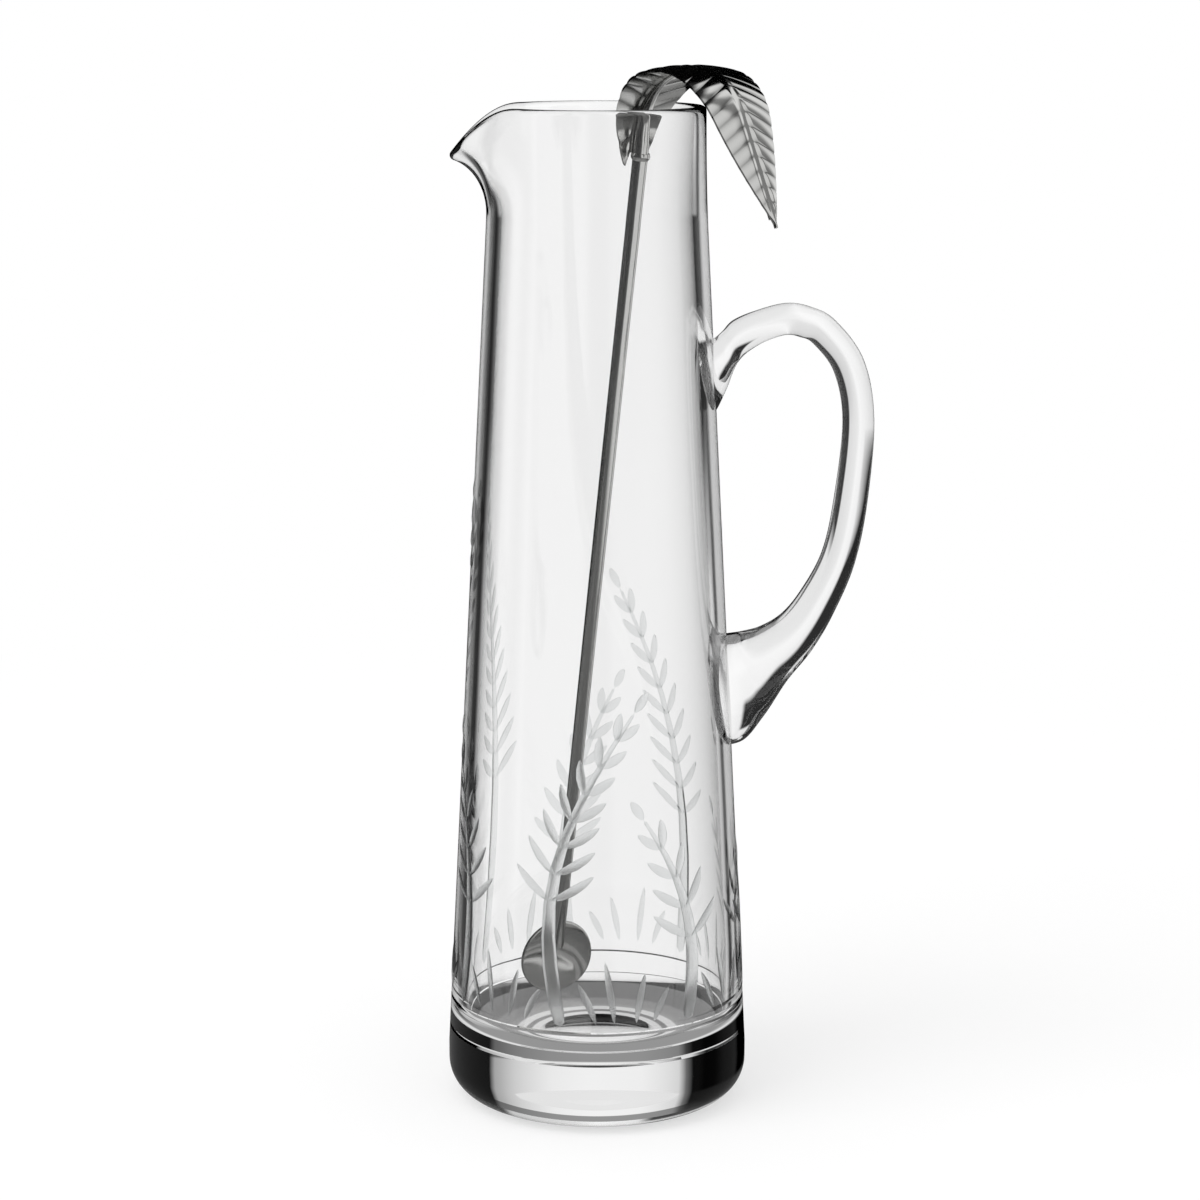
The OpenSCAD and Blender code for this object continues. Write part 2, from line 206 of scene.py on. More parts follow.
studio = {
    # plain grey levels
    "greys": {
        "darkTop": 0.04,          # over the walls, as turned back by their skins
        "ceiling": 0.03,          # over the cards
        "inside": 0.8,            # the paper seen through the pitcher's floor
        "skinShade": 0.1,         # how little the outer skins mirror of what is low
        "nearPaper": 0.17,        # what metal mirrors of the paper close by
        "lowPaper": 0.33,         # and of the paper straight below
        "plain": 0.95,            # even light for matt surfaces
        "white": 1,
    },
    # sines of the elevations between which a look comes in
    "bounds": {
        "bentUp": (0.24, 0.3), "bentDown": (-0.078, -0.139), "bentSteep": (-0.27, -0.35),
        "turnedLow": (-0.10, -0.155), "turnedUp": (0.62, 0.67),
        "skinDark": (0.2, 0.05), "paperBelow": (-0.69, -0.8), "above": (0.829, 0.8988),
        "paperNear": (-0.285, -0.345),
    },
    "paperTilt": (0.12, 0, 1),    # the near paper's own upright, leaning to the right
    # what Light Path says of the skins of glass that a ray has passed or was turned back by
    "skins": {
        "walls": ("Transmission Depth", "GREATER_THAN", 3.5),     # through both thin walls
        "inner": ("Transmission Depth", "GREATER_THAN", 2.5),     # from inside into the glass again
        "single": ("Transmission Depth", "LESS_THAN", 1.5),       # in, and on through the standing ring
        "clear": ("Transmission Depth", "LESS_THAN", 0.5),        # through none
        "mirrored": ("Glossy Depth", "GREATER_THAN", 0.5),        # turned back or mirrored at least once
    },
    # masks joined from two others
    "joined": [
        ("onSkin", "MULTIPLY", "skinDark", "clear"), ("metal", "MAXIMUM", "inner", "clear"),
        ("thick", "SUBTRACT", "all", "walls"), ("cards", "MAXIMUM", "thick", "mirrored"),
        ("ceiling", "MULTIPLY", "above", "cards"),
    ],
    # looks laid over one another in turn: the result, its mask, the look below and the one on top;
    # the outer skins' shade is multiplied in, the others are mixed
    "layers": [
        ("bent", "bentUp", "bent", "bentUp"), ("bent", "bentDown", "bent", "bentDown"),
        ("bent", "bentSteep", "bent", "bentSteep"), ("bent", "single", "bent", "under"),
        ("bent", "inner", "bent", "inside"), ("passed", "walls", "bent", "sweep"),
        ("turned", "turnedLow", "turned", "turnedLow"), ("turned", "turnedUp", "turned", "darkTop"),
        ("shone", "onSkin", "mirrored", "skinShade"), ("shone", "paperNear", "shone", "nearPaper"),
        ("turned", "metal", "turned", "shone"), ("turned", "paperBelow", "turned", "lowPaper"),
        ("look", "mirrored", "passed", "turned"), ("look", "ceiling", "look", "ceiling"),
        ("look", "matt", "look", "plain"), ("look", "seen", "look", "white"),
    ],
    "paperColour": "#F7F7F7", "paperRoughness": 0.4,
    "floorSize": 400000,
    "floorShade": 0.45,           # share of the paper's look that takes shadow, near the pitcher
    "shadeFade": (150, 700),
    "softBox": {"size": 900, "power": 7.0, "place": (-700, -500, 1300)},
}

world = bpy.data.worlds.new("studio")
bpy.context.scene.world = world
world.use_nodes = True
tree = world.node_tree
tree.nodes.clear()
direction = addNode(tree, "ShaderNodeTexCoord").outputs["Generated"]
axes = addNode(tree, "ShaderNodeSeparateXYZ", links={"Vector": direction}).outputs
left = addNode(tree, "ShaderNodeMath", {"operation": "MULTIPLY"}, {0: axes["X"], 1: -1.0}).outputs[0]
heading = addNode(tree, "ShaderNodeMath", {"operation": "ARCTAN2"}, {0: left, 1: axes["Y"]}).outputs[0]
share = addNode(tree, "ShaderNodeMapRange", links={
    "Value": heading, "From Min": -math.pi, "From Max": math.pi}).outputs[0]
layers = {name: grey(level) for name, level in studio["greys"].items()}
for name, stops in looks.items():
    ramp = addNode(tree, "ShaderNodeValToRGB", links={"Fac": share})
    fillRamp(ramp, [(degrees / 360 + 0.5, level) for degrees, level in stops])
    layers[name] = ramp.outputs["Color"]

tilted = addNode(tree, "ShaderNodeVectorMath", {"operation": "DOT_PRODUCT"}, {
    0: direction, 1: studio["paperTilt"]}).outputs["Value"]
path = addNode(tree, "ShaderNodeLightPath").outputs
masks = {"all": 1.0, "matt": path["Is Diffuse Ray"], "seen": path["Is Camera Ray"]}
for name, (start, end) in studio["bounds"].items():
    height = tilted if name == "paperNear" else axes["Z"]
    masks[name] = addNode(tree, "ShaderNodeMapRange", links={
        "Value": height, "From Min": start, "From Max": end}).outputs[0]
for name, (count, operation, limit) in studio["skins"].items():
    masks[name] = addNode(tree, "ShaderNodeMath", {"operation": operation}, {
        0: path[count], 1: limit}).outputs[0]
for name, operation, one, other in studio["joined"]:
    masks[name] = addNode(tree, "ShaderNodeMath", {"operation": operation}, {
        0: masks[one], 1: masks[other]}).outputs[0]
for name, mask, below, top in studio["layers"]:
    blend = "MULTIPLY" if mask == "onSkin" else "MIX"
    layers[name] = addNode(tree, "ShaderNodeMix", {"data_type": "RGBA", "blend_type": blend}, {
        0: masks[mask], 6: layers[below], 7: layers[top]}).outputs[2]
background = addNode(tree, "ShaderNodeBackground", links={"Color": layers["look"], "Strength": 1.0})
addNode(tree, "ShaderNodeOutputWorld", links={"Surface": background.outputs[0]})

# white matt paper: an even white that keeps a soft shadow near the pitcher
paper, tree = newMaterial("whiteMattPaper")
position = addNode(tree, "ShaderNodeTexCoord").outputs["Object"]
away = addNode(tree, "ShaderNodeVectorMath", {"operation": "LENGTH"}, {0: position}).outputs["Value"]
glow = addNode(tree, "ShaderNodeEmission", links={"Color": grey(1), "Strength": 1.0})
matt = addNode(tree, "ShaderNodeBsdfDiffuse", links={
    "Color": fromHex(studio["paperColour"]), "Roughness": studio["paperRoughness"]})
start, end = [distance * mm for distance in studio["shadeFade"]]
shade = addNode(tree, "ShaderNodeMapRange", links={
    "Value": away, "From Min": start, "From Max": end, "To Min": studio["floorShade"], "To Max": 0.0})
both = addNode(tree, "ShaderNodeMixShader", links={
    0: shade.outputs[0], 1: glow.outputs[0], 2: matt.outputs[0]})
addNode(tree, "ShaderNodeOutputMaterial", links={"Surface": both.outputs[0]})

bm = bmesh.new()
bmesh.ops.create_grid(bm, x_segments=4, y_segments=4, size=studio["floorSize"] * mm / 2)
floorMesh = bpy.data.meshes.new("floor")
bm.to_mesh(floorMesh)
bm.free()
floorMesh.materials.append(paper)
floor = bpy.data.objects.new("floor", floorMesh)
bpy.context.scene.collection.objects.link(floor)
floor.visible_transmission = False     # glass and metal see the sweep's looks, which the world holds
floor.visible_glossy = False

box = studio["softBox"]
lamp = bpy.data.lights.new("softBox", "AREA")
lamp.shape = "SQUARE"
lamp.size = box["size"] * mm
lamp.energy = box["power"]
lampObject = bpy.data.objects.new("softBox", lamp)
lampObject.location = Vector(box["place"]) * mm
lampObject.rotation_euler = (-lampObject.location).to_track_quat("-Z", "Y").to_euler()
lampObject.visible_glossy = False
lampObject.visible_transmission = False
bpy.context.scene.collection.objects.link(lampObject)
print("studio set")


# materials
# the ring that the pitcher stands on: from its inner radius to its top, light from inside goes on
# into the paper, as total reflection many times over would bring it there
standingRing = {
    "inner": 18.5, "top": 11.2,
    # radii of bands, and how much light from the floor each lets by: the dimmer bands are painted shade
    "shadeBands": [(18.5, 0.95), (20.8, 0.95), (21.4, 0.35), (22.8, 0.35), (23.4, 0.95), (26, 0.95),
              (26.8, 0.5), (30, 0.42), (34, 0.42), (36, 0.3)],
    "outer": 50,                   # radius at the end of the bands' ramp
    # the heel's level is painted shade on light that passes it without being turned back
    "open": 0.93, "heel": 0.3,     # what it lets by of other light, and the heel of light not turned back
    "heelFrom": (2.3, 2.7),        # heights between which the ring becomes the heel
}
plate = {
    "cloudSize": 12, "roughSpread": (0.7, 1.4),      # slow change of the polish
    "lineStrength": 0.25, "lineHeight": 0.004,
}


def glassMaterial(name, tint, ior, roughness, wave, waveSize, stretch=(1, 1, 1), ring=(0, -1)):
    # wave is the height of the surface's unevenness and waveSize its width, in millimetres;
    # ring is the standing ring's inner radius and its top, which is under the floor where there is none
    material, tree = newMaterial(name)
    place = addNode(tree, "ShaderNodeTexCoord").outputs["Object"]
    drawn = addNode(tree, "ShaderNodeMapping", links={"Vector": place, "Scale": stretch}).outputs[0]
    noise = addNode(tree, "ShaderNodeTexNoise", links={
        "Vector": drawn, "Scale": 1 / (waveSize * mm), "Detail": 1.0})
    bump = addNode(tree, "ShaderNodeBump", links={
        "Height": noise.outputs[0], "Strength": 1.0, "Distance": wave * mm})
    glass = addNode(tree, "ShaderNodeBsdfPrincipled", links={
        "Base Color": fromHex(tint), "Transmission Weight": 1.0, "IOR": ior, "Roughness": roughness,
        "Normal": bump.outputs[0]})
    path = addNode(tree, "ShaderNodeLightPath").outputs
    z = addNode(tree, "ShaderNodeSeparateXYZ", links={"Vector": place}).outputs["Z"]
    flat = addNode(tree, "ShaderNodeVectorMath", {"operation": "MULTIPLY"}, {0: place, 1: (1, 1, 0)})
    radius = addNode(tree, "ShaderNodeVectorMath", {"operation": "LENGTH"}, {0: flat.outputs[0]})
    radius = radius.outputs["Value"]
    outer = addNode(tree, "ShaderNodeMath", {"operation": "GREATER_THAN"}, {0: radius, 1: ring[0] * mm})
    under = addNode(tree, "ShaderNodeMath", {"operation": "LESS_THAN"}, {0: z, 1: ring[1] * mm})
    under = addNode(tree, "ShaderNodeMath", {"operation": "MULTIPLY"}, {
        0: under.outputs[0], 1: outer.outputs[0]})
    reach = addNode(tree, "ShaderNodeMath", {"operation": "DIVIDE"}, {
        0: radius, 1: standingRing["outer"] * mm})
    # light from the floor, dimmed band by band by painted shade
    shadeBands = addNode(tree, "ShaderNodeValToRGB", links={"Fac": reach.outputs[0]})
    fillRamp(shadeBands, [(far / standingRing["outer"], level) for far, level in standingRing["shadeBands"]])
    count, operation, limit = studio["skins"]["inner"]
    fromFloor = addNode(tree, "ShaderNodeMath", {"operation": operation}, {0: path[count], 1: limit})
    count, operation, limit = studio["skins"]["mirrored"]
    turned = addNode(tree, "ShaderNodeMath", {"operation": operation}, {0: path[count], 1: limit})
    # painted shade on the heel, for light that was not turned back
    low, high = standingRing["heelFrom"]
    heel = addNode(tree, "ShaderNodeMapRange", links={
        "Value": z, "From Min": low * mm, "From Max": high * mm,
        "To Min": standingRing["open"], "To Max": standingRing["heel"]})
    heel = addNode(tree, "ShaderNodeMix", {"data_type": "RGBA"}, {
        0: turned.outputs[0], 6: heel.outputs[0], 7: grey(standingRing["open"])})
    # the colour the ring lets light by with, holding the painted shade of the bands and the heel
    ringShadeVeil = addNode(tree, "ShaderNodeMix", {"data_type": "RGBA"}, {
        0: fromFloor.outputs[0], 6: heel.outputs[2], 7: shadeBands.outputs["Color"]})
    clear = addNode(tree, "ShaderNodeBsdfTransparent", links={"Color": ringShadeVeil.outputs[2]})
    inside = addNode(tree, "ShaderNodeNewGeometry").outputs["Backfacing"]
    through = addNode(tree, "ShaderNodeMath", {"operation": "MULTIPLY"}, {0: under.outputs[0], 1: inside})
    through = addNode(tree, "ShaderNodeMath", {"operation": "MAXIMUM"}, {
        0: through.outputs[0], 1: path["Is Shadow Ray"]})
    both = addNode(tree, "ShaderNodeMixShader", links={
        0: through.outputs[0], 1: glass.outputs[0], 2: clear.outputs[0]})
    addNode(tree, "ShaderNodeOutputMaterial", links={"Surface": both.outputs[0]})
    return material


def metalMaterial(name, colour, troughShadeColour, roughness, lineSize, lineStretch):
    # fine lines left by the polishing mop, and painted shade: a dark colour laid in the troughs between the
    # leaf's veins
    material, tree = newMaterial(name)
    place = addNode(tree, "ShaderNodeTexCoord").outputs["Object"]
    drawn = addNode(tree, "ShaderNodeMapping", links={"Vector": place, "Scale": lineStretch}).outputs[0]
    lines = addNode(tree, "ShaderNodeTexNoise", links={
        "Vector": drawn, "Scale": 1 / (lineSize * mm), "Detail": 3.0})
    cloud = addNode(tree, "ShaderNodeTexNoise", links={
        "Vector": place, "Scale": 1 / (plate["cloudSize"] * mm), "Detail": 2.0})
    least, most = plate["roughSpread"]
    rough = addNode(tree, "ShaderNodeMapRange", links={
        "Value": cloud.outputs[0], "To Min": roughness * least, "To Max": roughness * most})
    troughShade = addNode(tree, "ShaderNodeAttribute", {"attribute_name": "troughShade"}).outputs["Fac"]
    colours = addNode(tree, "ShaderNodeMix", {"data_type": "RGBA"}, {
        0: troughShade, 6: fromHex(colour), 7: fromHex(troughShadeColour)})
    bump = addNode(tree, "ShaderNodeBump", links={
        "Height": lines.outputs[0], "Strength": plate["lineStrength"], "Distance": plate["lineHeight"] * mm})
    metal = addNode(tree, "ShaderNodeBsdfPrincipled", links={
        "Base Color": colours.outputs[2], "Metallic": 1.0, "Roughness": rough.outputs[0],
        "Normal": bump.outputs[0]})
    addNode(tree, "ShaderNodeOutputMaterial", links={"Surface": metal.outputs[0]})
    return material


# hand-blown clear glass: fire polished, with the faint unevenness of blowing
blownGlass = glassMaterial("blownClearGlass", "#FFFFFF", 1.5, 0.0, 0.05, 34,
                           ring=(standingRing["inner"], standingRing["top"]))
# the same glass pulled to a strand: its unevenness runs along the strand
pulledGlass = glassMaterial("pulledClearGlass", "#FFFFFF", 1.5, 0.0, 0.04, 9, (1, 1, 0.3))
# wheel-cut glass, satin from the stone: it blurs what is behind it
cutGlass = glassMaterial("wheelCutGlass", "#F4F5F5", 1.5, 0.22, 0.01, 0.6)
# silver plate over brass, mop polished: bright, with soft long reflections
rodPlate = metalMaterial("polishedSilverRod", "#D4D4D2", "#3A3A39", 0.07, 1.2, (6, 6, 0.2))
# its dark colour is painted shade, laid in the troughs between the veins
leafPlate = metalMaterial("polishedSilverLeaf", "#D4D4D2", "#2B2B2B", 0.1, 1.5, (2, 2, 2))
print("materials made")

# pitcher body
pitcher = {
    "rimHeight": 300, "rimThickness": 3, "radius": 45.4, "bellyHeight": 16,
    "shoulderRadius": 32.8, "neckRadius": 32, "neckLength": 38, "wall": 4.4,
    "baseThickness": 23, "floorFillet": 8, "heel": 11,
    "pontilRadius": 18.5, "pontilDepth": 1.5,
    "ringHeights": (22.1, 31.4), "ringWidth": 1.2, "ringDepth": 0.45,
    "lipReach": 10, "lipDrop": 14.3, "lipHalfAngle": 45, "lipDropPower": 1.5,
    "flareHeight": 30.5, "flareTurn": 75,
    "segments": 256, "pontilSteps": 10, "heelSteps": 16, "wallSteps": 12, "neckSteps": 3,
    "flareSteps": 28, "rimSteps": 14, "floorShares": (0.6, 0.25, 0), "sharpAngle": 25,
}
joinHeight = pitcher["rimHeight"] - pitcher["neckLength"]
rimMiddle = pitcher["rimHeight"] - pitcher["rimThickness"] / 2
flareBase = rimMiddle - pitcher["flareHeight"]
coneSlope = (pitcher["radius"] - pitcher["shoulderRadius"]) / (joinHeight - pitcher["bellyHeight"])
flareTurn = math.radians(pitcher["flareTurn"])
flareRise = (rimMiddle - flareBase) / math.sin(flareTurn)


def wallRadius(z):
    return pitcher["radius"] - max(0, z - pitcher["bellyHeight"]) * coneSlope


def neckRadius(z):
    # leaves the cone at the cone's slope and stands upright at the rim
    length = rimMiddle - joinHeight
    t = min(1, max(0, (z - joinHeight) / length))
    blend = mix(pitcher["shoulderRadius"], pitcher["neckRadius"], smoothStep(t))
    return blend - coneSlope * length * t * (1 - t) ** 2


def bodyOutline():
    wall, rim, heel = pitcher["wall"], pitcher["rimThickness"], pitcher["heel"]
    fillet, base = pitcher["floorFillet"], pitcher["baseThickness"]
    steps, neckSteps = pitcher["wallSteps"], pitcher["neckSteps"]
    shares = [i / pitcher["pontilSteps"] for i in range(pitcher["pontilSteps"] + 1)]
    points = [(pitcher["pontilRadius"] * t, pitcher["pontilDepth"] * (1 - t ** 2)) for t in shares]
    points += arcPoints(pitcher["radius"] - heel, heel, heel, -90, 0, pitcher["heelSteps"])
    points.append((pitcher["radius"], pitcher["bellyHeight"]))
    for z in pitcher["ringHeights"]:
        half = pitcher["ringWidth"] / 2
        points += [(wallRadius(z - half), z - half), (wallRadius(z) - pitcher["ringDepth"], z),
                   (wallRadius(z + half), z + half)]
    last = points[-1][1]
    rises = [mix(last, joinHeight, i / steps) for i in range(1, steps)]
    points += [(wallRadius(z), z) for z in rises]
    neck = [mix(joinHeight, flareBase, i / neckSteps) for i in range(neckSteps + 1)]
    points += [(neckRadius(z), z) for z in neck]
    turns = [flareTurn * i / pitcher["flareSteps"] for i in range(1, pitcher["flareSteps"] + 1)]
    heights = [flareBase + flareRise * math.sin(a) for a in turns]
    points += [(neckRadius(z), z) for z in heights]
    rimArc = arcPoints(neckRadius(rimMiddle) - rim / 2, rimMiddle, rim / 2, 0, 180, pitcher["rimSteps"])
    points += rimArc[1:-1]
    # down inside
    for turn, z in zip(turns[::-1], heights[::-1]):
        points.append((neckRadius(z) - mix(wall, rim, turn / flareTurn), z))
    falls = [mix(flareBase, joinHeight, i / neckSteps) for i in range(neckSteps + 1)]
    points += [(neckRadius(z) - wall, z) for z in falls]
    top = base + fillet
    falls = [mix(joinHeight, top, i / steps) for i in range(1, steps)]
    points += [(wallRadius(z) - wall, z) for z in falls]
    points += arcPoints(wallRadius(top) - wall - fillet, top, fillet, 0, -90, steps)
    points += [(points[-1][0] * share, base) for share in pitcher["floorShares"]]
    return points


def pullLip(bm):
    # the flare's arc is drawn out and bent down by a weight that is 1 in the lip's middle
    for v in bm.verts:
        off = math.degrees(abs(math.atan2(v.co.y, -v.co.x)))
        if v.co.z <= flareBase or off >= pitcher["lipHalfAngle"]:
            continue
        weight = math.cos(math.radians(90 * off / pitcher["lipHalfAngle"])) ** 2
        turn = min(flareTurn, math.asin(min(1, (v.co.z - flareBase) / flareRise)))
        radius = math.hypot(v.co.x, v.co.y)
        inset = neckRadius(flareBase + flareRise * math.sin(turn)) - radius
        beyond = max(0, v.co.z - rimMiddle)
        drop = pitcher["lipDrop"] * weight ** pitcher["lipDropPower"]
        rise = (rimMiddle - drop - flareBase) / math.sin(flareTurn)
        reach = pitcher["lipReach"] * weight / (1 - math.cos(flareTurn))
        along = Vector((reach * math.sin(turn), rise * math.cos(turn))).normalized()
        height = flareBase + rise * math.sin(turn)
        point = Vector((neckRadius(height) + reach * (1 - math.cos(turn)), height))
        point += Vector((-along.y, along.x)) * inset + along * beyond
        v.co = (v.co.x / radius * point.x, v.co.y / radius * point.x, point.y)


bm = spinOutline(bodyOutline(), pitcher["segments"])
pullLip(bm)
makePiece(bm, "pitcherBody", "pitcher", blownGlass, "pitcher_body",
          pitcher["sharpAngle"])

# pitcher handle
handle = {
    "strand": 9.5, "reach": 42, "lowHeight": 125, "topDrop": 62.5,
    "sides": 48, "steps": 8, "sharpAngle": 40,
    "seat": 0.02,      # gap to the wall, so that the two skins of glass don't coincide
    "cutBelow": 60,    # how far below the lower joint the wall's space is cut out
    # share of the reach off the wall, share of the height, half thickness and half
    # width as shares of the strand's radius, angle of the thickness
    "stations": [
        (-0.093, 0.844, 2.20, 1.40, 90), (-0.010, 0.849, 2.36, 1.40, 90), (0.070, 0.889, 1.90, 1.25, 93),
        (0.157, 0.942, 1.32, 1.12, 97), (0.312, 0.977, 1.07, 1.03, 96), (0.512, 1.000, 1.00, 1.00, 88),
        (0.657, 0.992, 1.00, 1.00, 68), (0.786, 0.965, 1.00, 1.00, 46), (0.948, 0.876, 1.01, 1.00, 18),
        (1.000, 0.732, 1.00, 1.00, 2), (0.924, 0.519, 1.07, 1.00, -9), (0.820, 0.364, 1.11, 1.05, -20),
        (0.657, 0.244, 1.28, 1.12, -35), (0.502, 0.162, 1.54, 1.20, -52), (0.329, 0.102, 1.98, 1.32, -65),
        (0.174, 0.047, 2.86, 1.50, -76), (0.043, 0.012, 3.50, 1.75, -81), (-0.114, 0.000, 3.58, 1.80, -84),
    ],
}


def strandStation(i, t):
    # smooth curve through the stations
    rows = [Vector(row) for row in handle["stations"]]
    last = len(rows) - 1
    leave = (rows[i + 1] - rows[max(0, i - 1)]) / 2
    arrive = (rows[min(last, i + 2)] - rows[i]) / 2
    return rows[i].lerp(rows[i + 1], smoothStep(t)) + leave * t * (1 - t) ** 2 - arrive * t ** 2 * (1 - t)


def strandMatrix(station):
    outward, up, thick, wide, angle = station
    z = mix(handle["lowHeight"], pitcher["rimHeight"] - handle["topDrop"], up)
    x = wallRadius(z) + handle["reach"] * outward
    turn = math.radians(angle)
    half, side = handle["strand"] / 2 * thick, handle["strand"] / 2 * wide
    across = Vector((math.cos(turn), 0, math.sin(turn)))
    along = Vector((math.sin(turn), 0, -math.cos(turn)))
    return circleMatrix((x, 0, z), across, half, side, along)


bm = bmesh.new()
spans = len(handle["stations"]) - 1
places = [(i, k / handle["steps"]) for i in range(spans) for k in range(handle["steps"])]
places.append((spans - 1, 1.0))
bridgeCircles(bm, [strandMatrix(strandStation(i, t)) for i, t in places], handle["sides"])
bmesh.ops.recalc_face_normals(bm, faces=bm.faces)

# the wall's space is cut out of the strand's two ends
seat = handle["seat"]
bottom, top = handle["lowHeight"] - handle["cutBelow"], joinHeight
cutterOutline = [(0, bottom), (wallRadius(bottom) + seat, bottom), (wallRadius(top) + seat, top), (0, top)]
cutterMesh = bpy.data.meshes.new("wallSpace")
cutter = spinOutline(cutterOutline, pitcher["segments"])
bmesh.ops.scale(cutter, vec=(mm, mm, mm), verts=cutter.verts)
cutter.to_mesh(cutterMesh)
cutter.free()
cutterObject = bpy.data.objects.new("wallSpace", cutterMesh)
bpy.context.scene.collection.objects.link(cutterObject)
handlePiece = makePiece(bm, "pitcherHandle", "pitcher", pulledGlass, "pitcher_handle")
cut = handlePiece.modifiers.new("wallSpace", "BOOLEAN")
cut.operation = "DIFFERENCE"
cut.solver = "EXACT"
cut.object = cutterObject
graph = bpy.context.evaluated_depsgraph_get()
cutMesh = bpy.data.meshes.new_from_object(handlePiece.evaluated_get(graph))
handlePiece.modifiers.clear()
handlePiece.data = cutMesh
cutMesh.shade_smooth()
cutMesh.set_sharp_from_angle(angle=math.radians(handle["sharpAngle"]))
bpy.data.objects.remove(cutterObject)
print("handle cut to the wall", len(cutMesh.polygons), "faces")

# wheel-cut sprays: each cut is a flat lens on the wall, in millimetres along and round it
sprays = {
    "foot": 33.5, "seat": 0.02, "depth": 0.34, "ridge": 0.45, "sides": 8, "sharpAngle": 60,
    # fullness is how fast a cut widens from its ends: the lower, the blunter
    "stemWidth": (2.7, 0.7), "stemFullness": 0.35, "stemRings": 14,    # width is half, at foot and tip
    # heading of the foot in degrees from the handle, height of the tip, sway to the side
    "stems": [(-104, 127, 13), (-53, 95, -8), (-1, 84, 7), (50, 150, 12), (102, 118, -9),
              (153, 184, 12), (205, 112, -8)],
    "swayRise": 1.6, "swayBelly": 0.55,
    "leafFrom": 0.4,               # share of the stem below the first pair of leaves
    "leafPitch": 7.5, "leafLengths": (15, 7), "leafWidth": 1.35, "leafTurns": (62, 28),
    "leafCurl": 0.16, "leafFullness": 1.5, "leafRings": 6,
    "blades": [(-29, 13, -16), (-23.5, 19, -5), (-17, 15, 9), (-11.5, 11, 20)],   # across, length, lean
    "bladeWidth": 1.1, "bladeFullness": 1.4, "bladeRise": 1,
    "bladeCurl": 1 / 150,          # per degree of lean
}
nudge = 0.01       # a small step along a path, to find its direction


def cutMark(bm, heading, path, width, fullness, rings):
    # path gives the place across and the height for shares from 0 to 1 along the cut
    made = bmesh.ops.create_uvsphere(bm, u_segments=sprays["sides"], v_segments=rings, radius=1)
    for v in made["verts"]:
        share = (v.co.z + 1) / 2
        girth = math.hypot(v.co.x, v.co.y)
        ahead = (path(share + nudge) - path(share - nudge)).normalized()
        aside = 0
        if girth > 0.001:      # not at the ends
            aside = (v.co.x / girth + sprays["ridge"] * v.co.y / girth) * girth ** fullness * width(share)
        spot = path(share) + Vector((ahead.y, -ahead.x)) * aside
        proud = sprays["depth"] * girth ** fullness * (1 + v.co.y) / 2
        radius = wallRadius(spot.y) + sprays["seat"] + proud
        angle = math.radians(heading) + spot.x / wallRadius(spot.y)
        v.co = (radius * math.cos(angle), radius * math.sin(angle), spot.y)


def stemPath(top, sway):
    rise, belly = sprays["swayRise"], sprays["swayBelly"]
    return lambda t: Vector((sway * (rise * t * t - math.sin(math.pi * t) * belly),
                             mix(sprays["foot"], top, t)))


def leafPath(start, turn, length, bend):
    # bend is how far the tip swings aside, in shares of the length
    turn = math.radians(turn)
    ahead = Vector((math.sin(turn), math.cos(turn)))
    aside = Vector((ahead.y, -ahead.x))
    return lambda t: start + ahead * length * t + aside * length * bend * t * t


bm = bmesh.new()
for heading, top, sway in sprays["stems"]:
    stem = stemPath(top, sway)
    broad, narrow = sprays["stemWidth"]
    cutMark(bm, heading, stem, lambda t: mix(broad, narrow, smoothStep(t)), sprays["stemFullness"],
            sprays["stemRings"])
    pairs = int((top - sprays["foot"]) * (1 - sprays["leafFrom"]) / sprays["leafPitch"])
    for pair in range(pairs + 1):
        share = mix(sprays["leafFrom"], 1, pair / pairs)
        ahead = (stem(share) - stem(share - 2 * nudge)).normalized()
        upright = math.degrees(math.atan2(ahead.x, ahead.y))
        length = mix(*sprays["leafLengths"], pair / pairs)
        turn = mix(*sprays["leafTurns"], pair / pairs)
        sides = (-1, 1) if pair < pairs else (0,)
        for side in sides:
            path = leafPath(stem(share), upright + side * turn, length, -side * sprays["leafCurl"])
            cutMark(bm, heading, path, lambda t: sprays["leafWidth"], sprays["leafFullness"],
                    sprays["leafRings"])
    for across, length, lean in sprays["blades"]:
        start = Vector((across, sprays["foot"] + sprays["bladeRise"]))
        path = leafPath(start, lean, length, lean * sprays["bladeCurl"])
        cutMark(bm, heading, path, lambda t: sprays["bladeWidth"], sprays["bladeFullness"],
                sprays["leafRings"])
bmesh.ops.recalc_face_normals(bm, faces=bm.faces)
makePiece(bm, "cutSprays", "pitcher", cutGlass, None, sprays["sharpAngle"])

# stirrer
stirrer = {
    "rod": 4.5, "rodFoot": 3.9, "rodTopDrop": 14.5, "run": 34.6, "turn": 42,
    "paddlePlace": (-13, 21.5), "paddle": 24.4, "paddleThickness": 1.2, "paddleTurn": 67,
    "slot": 8.5, "standGap": 0.2, "edge": 0.45, "edgeSteps": 6, "taperSteps": 12, "rimSteps": 8,
    # the bead of braze: how far it stands off the rod, and at what height over the rod's top
    "bead": [(0.1, -1.8), (0.5, -1.2), (0.62, -0.5), (0.4, 0.3)], "beadTop": 0.9,
    "rodSides": 64, "beadSides": 48, "paddleSides": 128, "sharpAngle": 50,
}
rodRadius = stirrer["rod"] / 2
paddleRadius = stirrer["paddle"] / 2
roughRise = pitcher["rimHeight"] - stirrer["rodTopDrop"] - pitcher["baseThickness"] - paddleRadius
tiltSine = math.sin(math.radians(stirrer["paddleTurn"])) * math.sin(math.atan(stirrer["run"] / roughRise))
paddleDrop = paddleRadius * math.sqrt(1 - tiltSine ** 2) + stirrer["paddleThickness"] / 2 * tiltSine
footHeight = pitcher["baseThickness"] + stirrer["standGap"] + paddleDrop
rodRise = pitcher["rimHeight"] - stirrer["rodTopDrop"] - footHeight
